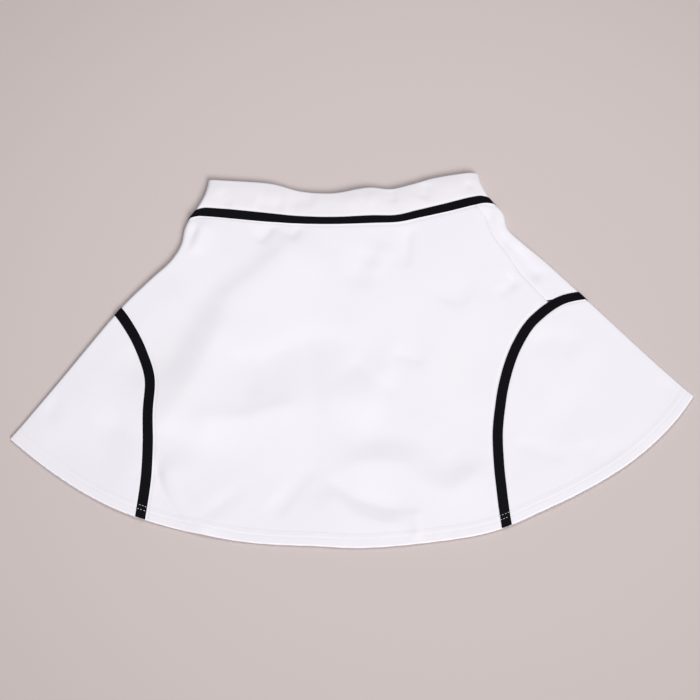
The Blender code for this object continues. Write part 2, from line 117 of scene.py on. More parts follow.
# The creases of the upper layer, each along its own line of places in plan: a ridge rises and a
# trough falls.  Its two sides, left and right as its line runs, are each as wide as they are
# steep; a crisp crease turns tightly, and its ends fade out
Crease = namedtuple("Crease", "rise left_width right_width crisp fade line")
CREASES = [
    Crease(
        2.5, 50, 26, 2.5, 42,
        ((-34, 144), (-58, 118), (-87, 92), (-114, 68), (-129, 30), (-152, -16), (-180, -62), (-194, -92)),
    ),
    Crease(
        -1.1, 12, 15, 5, 40,
        ((-49, 147), (-73, 127), (-102, 99), (-136, 75), (-156, 42), (-177, 4), (-197, -30)),
    ),
    Crease(1.2, 20, 44, 2, 34, ((-118, 54), (-140, 14), (-160, -26), (-182, -62), (-194, -88))),
    Crease(-1.0, 26, 24, 5, 34, ((-160, 68), (-186, 38), (-208, 4), (-228, -32))),
    Crease(-1.1, 4, 12, 1, 10, ((-67, 149), (-78, 137), (-90, 124))),
    Crease(-1.0, 4, 12, 1, 8, ((-43, 145), (-50, 135), (-56, 126))),
    Crease(
        1.6, 34, 30, 1.2, 35,
        ((-178, -64), (-140, -65), (-106, -67), (-82, -60), (-52, -54), (-27, -50)),
    ),
    Crease(0.7, 8, 20, 0.8, 22, ((-160, -65), (-112, -67), (-82, -60), (-52, -54))),
    Crease(1.5, 46, 24, 3, 28, ((-44, -50), (0, -50), (38, -64))),
    Crease(-1.3, 14, 32, 5, 40, ((-112, -28), (-70, -4), (-30, 11), (5, -2), (34, -32))),
    Crease(-0.6, 16, 6, 1, 22, ((-115, 11), (-105, -21), (-95, -52))),
    Crease(-0.9, 7, 14, 1, 22, ((-4, -2), (18, -28), (46, -54))),
    Crease(-0.7, 14, 6, 1, 14, ((38, -3), (58, -11), (78, -16))),
    Crease(
        1.5, 16, 20, 1.5, 30,
        ((-24, -125), (13, -119), (42, -123), (64, -141), (88, -151), (113, -137), (134, -128)),
    ),
    Crease(-0.9, 16, 12, 4, 30, ((-14, -100), (29, -95), (62, -104), (85, -126), (124, -114))),
    Crease(-1.2, 11, 6, 1.2, 24, ((-28, -128), (-8, -151), (20, -163), (52, -170))),
    Crease(1.0, 7, 14, 1.2, 24, ((-34, -138), (-14, -164), (9, -178), (50, -186))),
    Crease(0.9, 4, 6, 0.8, 10, ((52, -166), (54, -185), (53, -203))),
    Crease(-2.0, 4, 9, 1, 20, ((-196, -102), (-188, -138), (-174, -168), (-158, -202))),
    Crease(1.6, 14, 9, 1.2, 26, ((-188, -98), (-176, -133), (-156, -163), (-138, -198))),
    Crease(-0.6, 22, 16, 3, 16, ((-141, -144), (-133, -155), (-126, -166))),
    Crease(-0.7, 17, 9, 3, 12, ((-84, -148), (-74, -157), (-64, -165))),
    Crease(-0.4, 7, 13, 2, 24, ((-30, -115), (-55, -134), (-68, -159))),
    Crease(-0.9, 4, 8, 1, 20, ((70, 143), (65, 114), (62, 86))),
    Crease(-0.7, 10, 10, 3, 18, ((31, 117), (15, 87), (2, 67))),
    Crease(0.7, 9, 9, 3, 18, ((44, 124), (36, 100), (22, 78))),
    Crease(-0.7, 8, 16, 2, 12, ((123, 45), (106, 54), (95, 44))),
    Crease(-0.7, 10, 14, 3, 20, ((175, -11), (205, 4), (233, -13))),
    Crease(-0.6, 7, 7, 1.5, 18, ((150, -105), (169, -111), (205, -128))),
    Crease(-0.6, 10, 10, 2, 14, ((225, -104), (231, -127), (269, -114))),
    Crease(-1.0, 40, 30, 8, 40, ((186, -56), (230, -88), (282, -82))),
    Crease(-0.9, 34, 26, 8, 36, ((-302, -60), (-262, -88), (-214, -108))),
    Crease(-0.8, 18, 12, 3, 20, ((-312, -50), (-296, -46), (-280, -42))),
    Crease(-0.8, 20, 12, 3, 16, ((-256, -77), (-238, -70), (-219, -64))),
    Crease(-0.6, 3.5, 4, 0.8, 8, ((152, 52), (164, 63), (176, 75))),
    Crease(-0.5, 3.5, 4, 0.8, 8, ((161, 81), (167, 70), (174, 58))),
    Crease(-1.8, 4, 7, 1, 16, ((176, 116), (184, 100), (190, 84), (197, 64))),
    Crease(1.1, 5, 4, 1.2, 18, ((186, 112), (193, 94), (201, 76))),
    Crease(-1.3, 3.5, 6, 1, 22, ((147, 160), (154, 141), (165, 118), (174, 98))),
    Crease(1.1, 6, 4, 1.5, 16, ((156, 153), (162, 138), (172, 120))),
    Crease(1.1, 11, 4.5, 1, 16, ((-141, 160), (-147, 142), (-159, 115))),
    Crease(-1.4, 4, 4, 1, 12, ((-151, 153), (-157, 139), (-168, 119))),
    Crease(-0.9, 9, 9, 2, 14, ((301, -56), (318, -55), (332, -66))),
    Crease(-1.0, 9, 6, 2, 12, ((-58, 168), (-44, 172), (-24, 170))),
    Crease(-0.8, 7, 7, 2, 10, ((-92, 174), (-76, 170), (-58, 167))),
    Crease(-0.9, 3, 5, 1, 7, ((53, 186), (54, 175), (55, 164))),
    Crease(-0.9, 5, 7, 1.5, 8, ((91, 190), (88, 178), (85, 166))),
    Crease(-1.0, 3.5, 5, 1, 8, ((127, 185), (139, 181), (150, 172))),
    Crease(0.8, 8, 8, 3, 12, ((0, 166), (22, 174), (40, 168))),
    Crease(-0.8, 6, 6, 2, 10, ((-128, 192), (-122, 182), (-112, 170))),
]
CREASE_PROFILE = 1.4
CREASE_REACH = 2.6
UNDULATION_RISE = 0.5
UNDULATION_SIZE = 60.0
BATCH = 8000


def through(keys, values, at):
    """A smooth curve through a table's values."""
    keys = np.asarray(keys, float)
    values = np.asarray(values, float)
    slopes = np.gradient(values, keys)
    slopes[1:-1] = (values[2:] - values[:-2]) / (keys[2:] - keys[:-2])
    at = np.clip(at, keys[0], keys[-1])
    i = np.clip(np.searchsorted(keys, at, side="right") - 1, 0, len(keys) - 2)
    span = keys[i + 1] - keys[i]
    f = (at - keys[i]) / span
    rise = values[i + 1] - values[i]
    start, end = slopes[i] * span, slopes[i + 1] * span
    return values[i] + f * start + f**2 * (3 * rise - 2 * start - end) + f**3 * (start + end - 2 * rise)


def section_value(column, down):
    return through([s.down for s in SECTIONS], [getattr(s, column) for s in SECTIONS], np.maximum(down, 0))


def bowed(across, left_y, right_y, middle_y, left_bow, right_bow):
    """The height in plan of a section that sags from its folds to its middle."""
    left = middle_y + (left_y - middle_y) * np.abs(across) ** left_bow
    right = middle_y + (right_y - middle_y) * np.abs(across) ** right_bow
    return np.where(across < 0, left, right)


def plan_lines(downs, across):
    """Where whole sections lie in plan."""
    downs = downs[:, None]
    across = across[None, :]
    keys = [w.across for w in WAIST]
    seam_y = through(keys, [w.seam_y for w in WAIST], across)
    top_y = through(keys, [w.top_y for w in WAIST], across)
    up = np.clip(-downs * LENGTH_AT_SIDE / BAND_HEIGHT, 0, 1)
    top_half = np.where(across < 0, TOP_HALF_WIDTH_LEFT, TOP_HALF_WIDTH_RIGHT)
    band_x = (top_half + (SEAM_HALF_WIDTH - top_half) * (1 - up) ** BAND_CURVE) * across
    band_y = seam_y + (top_y - seam_y) * up
    left_x, right_x = section_value("left_x", downs), section_value("right_x", downs)
    ys = [section_value(c, downs) for c in ("left_y", "right_y", "middle_y", "left_bow", "right_bow")]
    top = SECTIONS[0]
    wave = seam_y - bowed(across, top.left_y, top.right_y, top.middle_y, top.left_bow, top.right_bow)
    fade = np.maximum(1 - downs / WAVE_FADE, 0) ** 2
    skirt_x = (left_x + right_x) / 2 + (right_x - left_x) / 2 * across
    hem_lift = through([p.across for p in HEM], [p.lift for p in HEM], across)
    near_hem = np.clip((downs - HEM_WAVE_START) / (1 - HEM_WAVE_START), 0, 1) ** 1.5
    skirt_y = bowed(across, *ys) + wave * fade + hem_lift * near_hem
    in_band = downs < 0
    return np.where(in_band, band_x, skirt_x), np.where(in_band, band_y, skirt_y) + SHIFT_Y


FORM_ROWS = 700
FORM_SHARES = 600
form_downs = np.linspace(-BAND_HEIGHT / LENGTH_AT_SIDE, 1.0, FORM_ROWS + 1)
line_x, line_y = plan_lines(form_downs, np.linspace(-1, 1, 481))
steps = np.hypot(np.diff(line_x, axis=1), np.diff(line_y, axis=1))
runs = np.concatenate([np.zeros((FORM_ROWS + 1, 1)), np.cumsum(steps, axis=1)], axis=1)
form_widths = runs[:, -1]
shares = np.linspace(0, 1, FORM_SHARES + 1)
form_x = np.array([np.interp(shares * r[-1], r, x) for r, x in zip(runs, line_x)])
form_y = np.array([np.interp(shares * r[-1], r, y) for r, y in zip(runs, line_y)])


def section_width(down):
    return np.interp(down, form_downs, form_widths)


def plan_at(down, along):
    """The place in plan at a distance along a section from its left fold."""
    share = np.asarray(along) / section_width(down) * FORM_SHARES
    row = (np.asarray(down) - form_downs[0]) / (form_downs[1] - form_downs[0])
    i = np.clip(np.floor(row).astype(int), 0, FORM_ROWS - 1)
    j = np.clip(np.floor(share).astype(int), 0, FORM_SHARES - 1)
    f, g = row - i, share - j
    placed = []
    for form in (form_x, form_y):
        upper = form[i, j] * (1 - g) + form[i, j + 1] * g
        lower = form[i + 1, j] * (1 - g) + form[i + 1, j + 1] * g
        placed.append(upper * (1 - f) + lower * f)
    return placed


def half_girth(down):
    """Half of the way round the tube, on its outer face."""
    return section_width(down) + (pi - 2) * section_value("fold_radius", down)


def crease_rise(x, y):
    """All the soft troughs and ridges of the upper layer."""
    total = np.zeros(x.shape)
    for crease in CREASES:
        ends = np.arange(len(crease.line))
        fine = np.linspace(0, ends[-1], 24 * int(ends[-1]) + 1)
        line = np.stack([through(ends, [p[k] for p in crease.line], fine) for k in (0, 1)], axis=-1)
        tangent = np.gradient(line, axis=0)
        tangent /= np.hypot(*tangent.T)[:, None]
        run = np.concatenate([[0], np.cumsum(np.hypot(*np.diff(line, axis=0).T))])
        reach = CREASE_REACH * max(crease.left_width, crease.right_width) + 2 * crease.crisp
        low, high = line.min(axis=0) - reach, line.max(axis=0) + reach
        near = (x > low[0]) & (x < high[0]) & (y > low[1]) & (y < high[1])
        points = np.stack([x[near], y[near]], axis=-1)
        rises = np.zeros(len(points))
        for k in range(0, len(points), BATCH):
            gap = points[k : k + BATCH, None, :] - line[None, :, :]
            closest = (gap**2).sum(axis=2).argmin(axis=1)
            gap = gap[np.arange(len(gap)), closest]
            heading = tangent[closest]
            aside = heading[:, 0] * gap[:, 1] - heading[:, 1] * gap[:, 0]
            along = heading[:, 0] * gap[:, 0] + heading[:, 1] * gap[:, 1]
            passed = run[closest] + along
            end_gap = np.clip(np.minimum(passed, run[-1] - passed) / crease.fade, 0, 1)
            width = np.where(aside > 0, crease.left_width, crease.right_width)
            off = np.hypot(aside, crease.crisp) - crease.crisp
            profile = np.exp(-((off / width) ** CREASE_PROFILE))
            rises[k : k + BATCH] = crease.rise * np.sin(end_gap * pi / 2) ** 2 * profile
        total[near] += rises
    return total


def undulation(x, y, size, seed):
    """The slight unevenness of cloth that lies loose, the same at each run."""
    flat = [noise.noise(Vector((a / size, b / size, seed))) for a, b in zip(x.ravel(), y.ravel())]
    return np.array(flat).reshape(x.shape)


def lie(around, down, front_depth=0.0, back_depth=0.0):
    """How a place on the tube lies: its plan, its distance from a fold, and its turn there."""
    radius = section_value("fold_radius", down)
    quarter = radius * pi / 2
    width = section_width(down)
    half = width + (pi - 2) * radius
    around = (around + quarter) % (2 * half) - quarter
    on_left = around <= quarter + 1e-9
    on_right = np.abs(around - half) <= quarter + 1e-9
    on_front = ~on_left & ~on_right & (around < half)
    turn = np.where(on_left, around, np.where(on_right, half - around, 0)) / radius
    facing = np.where(on_front, 1, np.where(on_left | on_right, (1 + np.sin(turn)) / 2, 0))
    depth = front_depth * facing + back_depth * (1 - facing)
    inset = radius - (radius - depth) * np.cos(turn)
    flat_along = np.where(on_front, radius + around - quarter, radius + 2 * half - around - quarter)
    along = np.where(on_left, inset, np.where(on_right, width - inset, flat_along))
    x, y = plan_at(down, along)
    y = y + HEM_TUCK * (1 - facing) * np.clip((down - HEM_TUCK_START) / HEM_TUCK_RUN, 0, 1) ** 2
    from_fold = np.maximum(np.minimum(along, width - along) - radius, 0)
    fold_z = radius + (radius - depth) * np.sin(turn)
    return x, y, from_fold, on_front, on_left | on_right, fold_z


def surface(around, down, front_depth=0.0, back_depth=0.0):
    """Points on the tube as it lies, at a depth into the upper and the under layer."""
    x, y, from_fold, on_front, on_fold, fold_z = lie(around, down, front_depth, back_depth)
    double = 2 * section_value("fold_radius", down)
    uneven = UNDULATION_RISE * undulation(x, y, UNDULATION_SIZE, seed=3.7)
    loose = section_value("height", down) - double + uneven
    rise = loose * (1 - np.exp(-((from_fold / FOLD_FADE) ** 2)))
    rise = rise + crease_rise(x, y) * (1 - np.exp(-((from_fold / CREASE_FADE) ** 2)))
    above = (double + rise - LOWEST_FACE) / LOWEST_BLEND
    front_z = LOWEST_FACE + LOWEST_BLEND * np.logaddexp(0, above) - front_depth
    z = np.where(on_front, front_z, np.where(on_fold, fold_z, back_depth))
    return np.stack(np.broadcast_arrays(x, y, z), axis=-1)


def flat_places(around, down):
    return np.stack(lie(around, down)[:2], axis=-1)


def upper_side(around, down):
    """Whether places are on the upper half of the tube."""
    half = half_girth(down)
    return (around % (2 * half)) < half


# The arches over the side panels: a rounded top that runs out into legs that flare to the hem.
# Each point lies half the arch's width from its middle; the middle can lie beside the seam
ArchPoint = namedtuple("ArchPoint", "station half_width down")
LEFT_ARCH = [
    ArchPoint(-0.25, -30, 0.589),
    ArchPoint(0.00, 0, 0.578),
    ArchPoint(0.25, 30, 0.589),
    ArchPoint(0.50, 60, 0.623),
    ArchPoint(0.75, 88, 0.662),
    ArchPoint(1.00, 112, 0.703),
    ArchPoint(1.25, 131, 0.757),
    ArchPoint(1.50, 152, 0.819),
    ArchPoint(1.75, 172, 0.895),
    ArchPoint(2.00, 194, 1.000),
]
RIGHT_ARCH = [
    ArchPoint(-0.25, -34, 0.581),
    ArchPoint(0.00, 0, 0.560),
    ArchPoint(0.25, 34, 0.581),
    ArchPoint(0.50, 66, 0.625),
    ArchPoint(0.75, 97, 0.675),
    ArchPoint(1.00, 124, 0.724),
    ArchPoint(1.25, 150, 0.780),
    ArchPoint(1.50, 170, 0.842),
    ArchPoint(1.75, 188, 0.912),
    ArchPoint(2.00, 209, 1.000),
]
RIGHT_ARCH_SHIFT = 10.0
RIGHT_FOLD_LEG = 0.75
TAPE_WIDTH = 10.0
CLOTH_WALL = 1.0
UNDER_TAPE = 2.0
SEAM_GAP = 0.12
STATION_STEP = 0.001
DOWN_STEP = 0.004


def seam_from_fold(down):
    return float(section_value("turned", down))


def arch_place(arch, station):
    """Half the arch's width and how far down it is: 0 is its top, 2 the hem."""
    stations = [p.station for p in arch]
    half_width = through(stations, [p.half_width for p in arch], station)
    return float(half_width), float(through(stations, [p.down for p in arch], station))


def middle_from_fold(arch, down):
    """How far the arch's middle line lies from the fold beside it."""
    return float(section_value("turned", down)) - (RIGHT_ARCH_SHIFT if arch is RIGHT_ARCH else 0.0)


def leg_share(arch, side):
    """How wide a leg spreads: the right arch's leg over the fold spreads less than its other one."""
    return RIGHT_FOLD_LEG if arch is RIGHT_ARCH and side == 1 else 1.0


def station_past_fold(arch, past_fold):
    """Where on the arch its longer leg lies a given way past the fold."""
    low, high = 0.0, 1.0
    for _ in range(40):
        middle = (low + high) / 2
        half_width, down = arch_place(arch, middle)
        if half_width * leg_share(arch, 1) - middle_from_fold(arch, down) < past_fold:
            low = middle
        else:
            high = middle
    return (low + high) / 2


def flat_place(arch, around, down):
    """The plan of a place measured from the arch's own fold."""
    along = abs(around) if arch is LEFT_ARCH else float(section_width(down)) - abs(around)
    x, y = plan_at(down, along)
    return float(x), float(y)


def cloth_metric(arch, around, down):
    """How the cloth runs with "down" here: its slide along the section, and its whole run."""
    upper = min(down + DOWN_STEP, 1.0)
    lower = upper - 2 * DOWN_STEP
    (x0, y0), (x1, y1) = flat_place(arch, around, lower), flat_place(arch, around, upper)
    (x2, y2), (x3, y3) = flat_place(arch, around - 0.5, down), flat_place(arch, around + 0.5, down)
    run_x, run_y = (x1 - x0) / (upper - lower), (y1 - y0) / (upper - lower)
    past_fold = 1 - np.exp(-((around / FOLD_FADE) ** 2))
    return (run_x * (x3 - x2) + run_y * (y3 - y2)) * past_fold, (run_x**2 + run_y**2) ** 0.5


def arch_edge(arch, station, side, offset):
    """A place on a line beside the arch, outwards from it, measured from the arch's own fold."""
    half_width, down = arch_place(arch, station)
    spread_out = side * leg_share(arch, side)
    around = spread_out * half_width - middle_from_fold(arch, down)
    before = arch_place(arch, station - STATION_STEP)
    after = arch_place(arch, min(station + STATION_STEP, 2.0))
    run_down = after[1] - before[1]
    middle_run = middle_from_fold(arch, before[1]) - middle_from_fold(arch, after[1])
    run_around = spread_out * (after[0] - before[0]) + middle_run
    slide, stretch = cloth_metric(arch, around, down)
    area = (stretch * stretch - slide * slide) ** 0.5
    length = (run_around**2 + 2 * slide * run_around * run_down + (stretch * run_down) ** 2) ** 0.5
    if station == 2:
        return around + side * offset * length / (area * run_down), 1.0
    scale = side * offset / (area * length)
    around += scale * (slide * run_around + stretch * stretch * run_down)
    return around, down - scale * (run_around + slide * run_down)


def spread(start, end, columns):
    return [start + (end - start) * k / columns for k in range(columns + 1)]


FOLD_STEPS = 10
TOP_STEPS = 6
NEAR_FOLD = 7.0
CROSSING_STEPS = 12
CURVE_STEPS = 26
REACH_STEPS = 10
LEG_STEPS = 44
LEG_START = 0.78
HEM_ROWS_MM = [16, 15, 14.2, 13.6, 13.1, 12.6, 12.2, 11.8, 11.4, 10.8, 10, 9.2, 8.7, 8.3, 7.9, 7.5, 7]
HEM_ROWS_MM += [6, 5, 4, 3, 2.2, 1.6, 1.1, 0.75, 0.45, 0.22, 0.08, 0]
HEM_RUN = 390.0


def arch_stations(arch):
    """Places down a leg of the arch, close together over the fold and at the hem."""
    crossings = [station_past_fold(arch, c) for c in spread(-NEAR_FOLD, NEAR_FOLD, CROSSING_STEPS)]
    top = spread(0.0, crossings[0], TOP_STEPS)[:-1]
    curve = spread(crossings[-1], 1.0, CURVE_STEPS)
    leg_downs = [1 - mm / HEM_RUN for mm in HEM_ROWS_MM]
    leg_downs = spread(LEG_START, leg_downs[0], LEG_STEPS)[:-1] + leg_downs
    fine = spread(1.0, 2.0, 400)
    legs = np.interp(leg_downs, [arch_place(arch, station)[1] for station in fine], fine)
    reach = spread(1.0, float(legs[0]), REACH_STEPS)[1:-1]
    return top + crossings[:-1] + curve + reach + [float(station) for station in legs]


def fold_turns(down, steps=FOLD_STEPS):
    quarter = float(section_value("fold_radius", down)) * pi / 2
    return [quarter * (2 * k / steps - 1) for k in range(steps + 1)]


CLOSER = 8.0
CLOSER_REACH = 5.0


def close_spread(start, end, columns, close_start, close_end):
    """Columns that draw closer together beside a seam or under the edge of a tape."""
    length = end - start
    if length <= 0:
        return [start] * (columns + 1)
    place = np.linspace(0, length, 600)
    crowd = 1 + CLOSER * close_start * np.exp(-place / CLOSER_REACH)
    crowd = crowd + CLOSER * close_end * np.exp(-(length - place) / CLOSER_REACH)
    total = np.concatenate([[0], np.cumsum((crowd[1:] + crowd[:-1]) / 2)])
    return list(start + np.interp(np.linspace(0, total[-1], columns + 1), total, place))


def between(start, end, arounds):
    """Places at the given ways around, on the straight line from one border place to another."""
    run = end[0] - start[0]
    return [(a, start[1] + (end[1] - start[1]) * ((a - start[0]) / run if run > 0 else 0.0)) for a in arounds]


SEAM_STEP_MM = 4.0
WAIST_ROWS_MM = [3, 4, 4.7, 5.2, 5.6, 6.1, 6.8, 7.8, 9.2, 11, 13.5]


def panel_places(right, columns):
    """The panel's grid, from the waist to the hem, as (around, down) from its own fold."""
    near_arch, far_arch = (RIGHT_ARCH, LEFT_ARCH) if right else (LEFT_ARCH, RIGHT_ARCH)
    offset = TAPE_WIDTH / 2 - UNDER_TAPE
    borders = []
    near_foot, far_foot = [arch_place(arch, 0)[1] * LENGTH_AT_SIDE - offset for arch in (near_arch, far_arch)]
    rows_down = int((near_foot - 17.0) / SEAM_STEP_MM)
    seam_rows = [(mm, mm) for mm in WAIST_ROWS_MM]
    seam_rows += list(zip(spread(17.0, near_foot, rows_down)[:-1], spread(17.0, far_foot, rows_down)[:-1]))
    for near_mm, far_mm in seam_rows:
        near_down, far_down = near_mm / LENGTH_AT_SIDE, far_mm / LENGTH_AT_SIDE
        start = SEAM_GAP / 2 - seam_from_fold(near_down)
        end = float(half_girth(far_down)) - seam_from_fold(far_down) - SEAM_GAP / 2
        borders.append(((start, near_down), (end, far_down)))
    for near, far in zip(arch_stations(near_arch), arch_stations(far_arch)):
        start, start_down = arch_edge(near_arch, near, 1, offset)
        end, end_down = arch_edge(far_arch, far, -1, offset)
        start = max(start, SEAM_GAP / 2 - seam_from_fold(start_down))
        end = min(end, -SEAM_GAP / 2 - seam_from_fold(end_down)) + float(half_girth(end_down))
        borders.append(((start, start_down), (end, end_down)))
    rows = []
    for start, end in borders:
        turns = [max(start[0], a) for a in fold_turns(start[1])]
        behind = close_spread(start[0], turns[0], 14, 1, 0)[:-1]
        past_fold = min(max((start[0] - fold_turns(start[1])[-1]) / 25, 0), 1)
        front = close_spread(turns[-1], end[0], columns, past_fold, 1)[1:]
        rows.append(between(start, end, behind + turns + front))
    return rows


def tape_lines():
    """Points along the middle of every tape, for the upper and for the under layer."""
    upper, under = [], []
    for arch, right in ((LEFT_ARCH, False), (RIGHT_ARCH, True)):
        for side in (-1, 1):
            for station in spread(0.0, 2.0, 240):
                around, down = arch_edge(arch, station, side, 0.0)
                x, y = flat_place(arch, around, down)
                on_upper = (around < 0) if right else (around > 0)
                (upper if on_upper else under).append((x, y))
    for x, y in zip(*plan_at(np.zeros(400), np.linspace(0, float(section_width(0.0)), 400))):
        upper.append((x, y))
        under.append((x, y))
    return np.array(upper), np.array(under)


upper_tapes, under_tapes = tape_lines()
hem_line = np.stack(plan_at(np.ones(900), np.linspace(0, float(section_width(1.0)), 900)), axis=-1)


def nearest(points, line):
    """Each point's distance in plan to the nearest point of a line."""
    flat = points.reshape(-1, 2)
    found = np.empty(len(flat))
    for k in range(0, len(flat), BATCH):
        gap = flat[k : k + BATCH, None, :] - line[None, :, :]
        found[k : k + BATCH] = np.sqrt((gap**2).sum(axis=2).min(axis=1))
    return found.reshape(points.shape[:-1])


TAPE_THICK = 0.5
TAPE_PROUD = 0.55
HEM_HEIGHT = 13.0
HEM_STITCH_ROWS = (8.0, 12.0)
HEM_RIDGE = 0.22
EDGE_ROUND = 1.1
SEAM_DIP = 0.5
SEAM_DIP_WIDTH = 1.3
NEAR_HEM = 0.92
FAR_MM = 99.0
NEEDLE_DEPTH = 0.14
NEEDLE_WIDTH = 0.55
DRAWN_IN = 0.3
PULL = 0.16
PULL_SIZE = 11.0
HEM_PULL = 0.1
HEM_PULL_SIZE = 7.0


def step_down(value, start, end):
    """1 below start, 0 above end, softly between."""
    t = np.clip((end - value) / (end - start), 0, 1)
    return t * t * (3 - 2 * t)


def cloth_depths(around, down, seam_gap_to):
    """How deep the panels' outer face lies, for the upper and the under layer."""
    plain = flat_places(around, down)
    is_upper = upper_side(around, down)
    to_tape = np.where(is_upper, nearest(plain, upper_tapes), nearest(plain, under_tapes))
    to_hem = np.full(plain.shape[:-1], FAR_MM)
    low = down > NEAR_HEM
    to_hem[low] = nearest(plain[low], hem_line)
    pull = PULL * undulation(plain[..., 0], plain[..., 1], PULL_SIZE, seed=8.1)
    drawn_in = DRAWN_IN * np.exp(-(((to_tape - 5.4) / 1.1) ** 2))
    beside_tape = drawn_in + pull * np.exp(-(((to_tape - 8) / 6) ** 2))
    rounded = EDGE_ROUND - np.sqrt(np.maximum(EDGE_ROUND**2 - np.maximum(EDGE_ROUND - to_hem, 0) ** 2, 0))
    needle = sum(NEEDLE_DEPTH * np.exp(-(((to_hem - row) / NEEDLE_WIDTH) ** 2)) for row in HEM_STITCH_ROWS)
    seam = SEAM_DIP * np.exp(-((seam_gap_to / SEAM_DIP_WIDTH) ** 2))
    turned_up = HEM_RIDGE * step_down(to_hem, HEM_HEIGHT - 0.6, HEM_HEIGHT + 0.7)
    hem_pull = HEM_PULL * undulation(plain[..., 0], plain[..., 1], HEM_PULL_SIZE, seed=5.3)
    hem_pull = hem_pull * step_down(to_hem, 10, 18)
    front = beside_tape + rounded + needle + seam - turned_up + hem_pull
    lift = (TAPE_THICK + 0.08) * step_down(to_tape, 5.3, 9.0)
    return front, np.maximum(lift + rounded + needle + seam, 0.0)


def cloth_mesh(name, places, fold_right, depths, wall):
    """A cloth wall: a grid laid on the form, then given its thickness inwards."""
    grid = np.array(places)
    down = grid[..., 1]
    around = grid[..., 0] + (half_girth(down) if fold_right else 0.0)
    front, back = depths(around, down)
    outer = surface(around, down, front, back) * MM
    inner = surface(around, down, front + wall, back + wall) * MM
    rows, columns = down.shape
    shell = bmesh.new()
    bmesh.ops.create_grid(shell, x_segments=columns - 1, y_segments=rows - 1, size=0.5)
    inner_face = shell.verts.layers.float_vector.new("inner_face")
    grain = shell.loops.layers.uv.new("grain")
    shell.verts.ensure_lookup_table()
    for vert, place, under in zip(shell.verts, outer.reshape(-1, 3), inner.reshape(-1, 3)):
        vert.co = place
        vert[inner_face] = under
    along_grain = np.stack([grid[..., 0], down * LENGTH_AT_SIDE], axis=-1).reshape(-1, 2) * MM
    for face in shell.faces:
        face.smooth = True
        for loop in face.loops:
            loop[grain].uv = along_grain[loop.vert.index]
    bmesh.ops.remove_doubles(shell, verts=shell.verts, dist=0.01 * MM)
    extruded = bmesh.ops.extrude_face_region(shell, geom=shell.faces[:], use_keep_orig=True)
    for part in extruded["geom"]:
        if isinstance(part, bmesh.types.BMVert):
            part.co = part[inner_face]
    bmesh.ops.recalc_face_normals(shell, faces=shell.faces)
    mesh = bpy.data.meshes.new(name)
    shell.to_mesh(mesh)
    shell.free()
    mesh.set_sharp_from_angle(angle=radians(60))
    piece = bpy.data.objects.new(name, mesh)
    bpy.context.scene.collection.objects.link(piece)
    return piece


def linear(code):
    """An sRGB hex colour as linear values."""
    parts = [int(code[k : k + 2], 16) / 255 for k in (1, 3, 5)]
    return [p / 12.92 if p <= 0.04045 else ((p + 0.055) / 1.055) ** 2.4 for p in parts] + [1.0]


def add_node(tree, kind, settings=None, inputs=None, links=None):
    """One node, with its settings, its sockets' values and the sockets that feed it."""
    node = tree.nodes.new(kind)
    for key, value in (settings or {}).items():
        setattr(node, key, value)
    for key, value in (inputs or {}).items():
        node.inputs[key].default_value = value
    for key, source in (links or {}).items():
        tree.links.new(source, node.inputs[key])
    return node


WALE_MM = 1.3
COURSE_MM = 1.5


def knit_material(name, colour, shade, roughness, relief):
    """Double knit: matt, with a faint soft sheen from the brushed yarn and fine wales.

    The real wales are 0.6 mm apart, and are drawn coarser so that they show.
    """
    material = bpy.data.materials.new(name)
    material.use_nodes = True
    tree = material.node_tree
    shader = tree.nodes["Principled BSDF"]
    shader.inputs["Roughness"].default_value = roughness
    shader.inputs["Sheen Weight"].default_value = 0.22
    shader.inputs["Sheen Roughness"].default_value = 0.45
    shader.inputs["Specular IOR Level"].default_value = 0.3
    place = add_node(tree, "ShaderNodeTexCoord").outputs
    broad = {"Scale": 14.0, "Detail": 3.0}
    cloud = add_node(tree, "ShaderNodeTexNoise", inputs=broad, links={"Vector": place["Object"]})
    shades = {6: linear(shade), 7: linear(colour)}
    tint = add_node(tree, "ShaderNodeMix", {"data_type": "RGBA"}, shades, {0: cloud.outputs["Fac"]})
    tree.links.new(tint.outputs[2], shader.inputs["Base Color"])
    grain = add_node(tree, "ShaderNodeUVMap", {"uv_map": "grain"})
    split = add_node(tree, "ShaderNodeSeparateXYZ", links={"Vector": grain.outputs["UV"]})
    times, times_plus = {"operation": "MULTIPLY"}, {"operation": "MULTIPLY_ADD"}
    wale_turn, course_turn = 2 * pi / (WALE_MM * MM), 2 * pi / (COURSE_MM * MM)
    wale = add_node(tree, "ShaderNodeMath", times, {1: wale_turn}, {0: split.outputs["X"]})
    course = add_node(tree, "ShaderNodeMath", times, {1: course_turn}, {0: split.outputs["Y"]})
    rib = add_node(tree, "ShaderNodeMath", {"operation": "COSINE"}, links={0: wale.outputs[0]})
    lean = add_node(tree, "ShaderNodeMath", times_plus, {1: 1.6}, {0: rib.outputs[0], 2: course.outputs[0]})
    loops = add_node(tree, "ShaderNodeMath", {"operation": "SINE"}, links={0: lean.outputs[0]})
    knit = add_node(tree, "ShaderNodeMath", times_plus, {1: 0.6}, {0: loops.outputs[0], 2: rib.outputs[0]})
    loop_relief = {"Strength": relief, "Distance": 0.06 * MM}
    bump = add_node(tree, "ShaderNodeBump", inputs=loop_relief, links={"Height": knit.outputs[0]})
    tree.links.new(bump.outputs["Normal"], shader.inputs["Normal"])
    return material


white_knit = knit_material("white_double_knit", "#f3f1f7", "#efedf5", 0.78, 0.3)


def panel_depths(around, down):
    half = half_girth(down)
    turned = section_value("turned", down)
    from_seam = np.minimum(np.abs((around + turned + half / 2) % half - half / 2), 40.0)
    open_arch = down > arch_place(RIGHT_ARCH, 0)[1]
    return cloth_depths(around, down, np.where(open_arch, 40.0, from_seam))


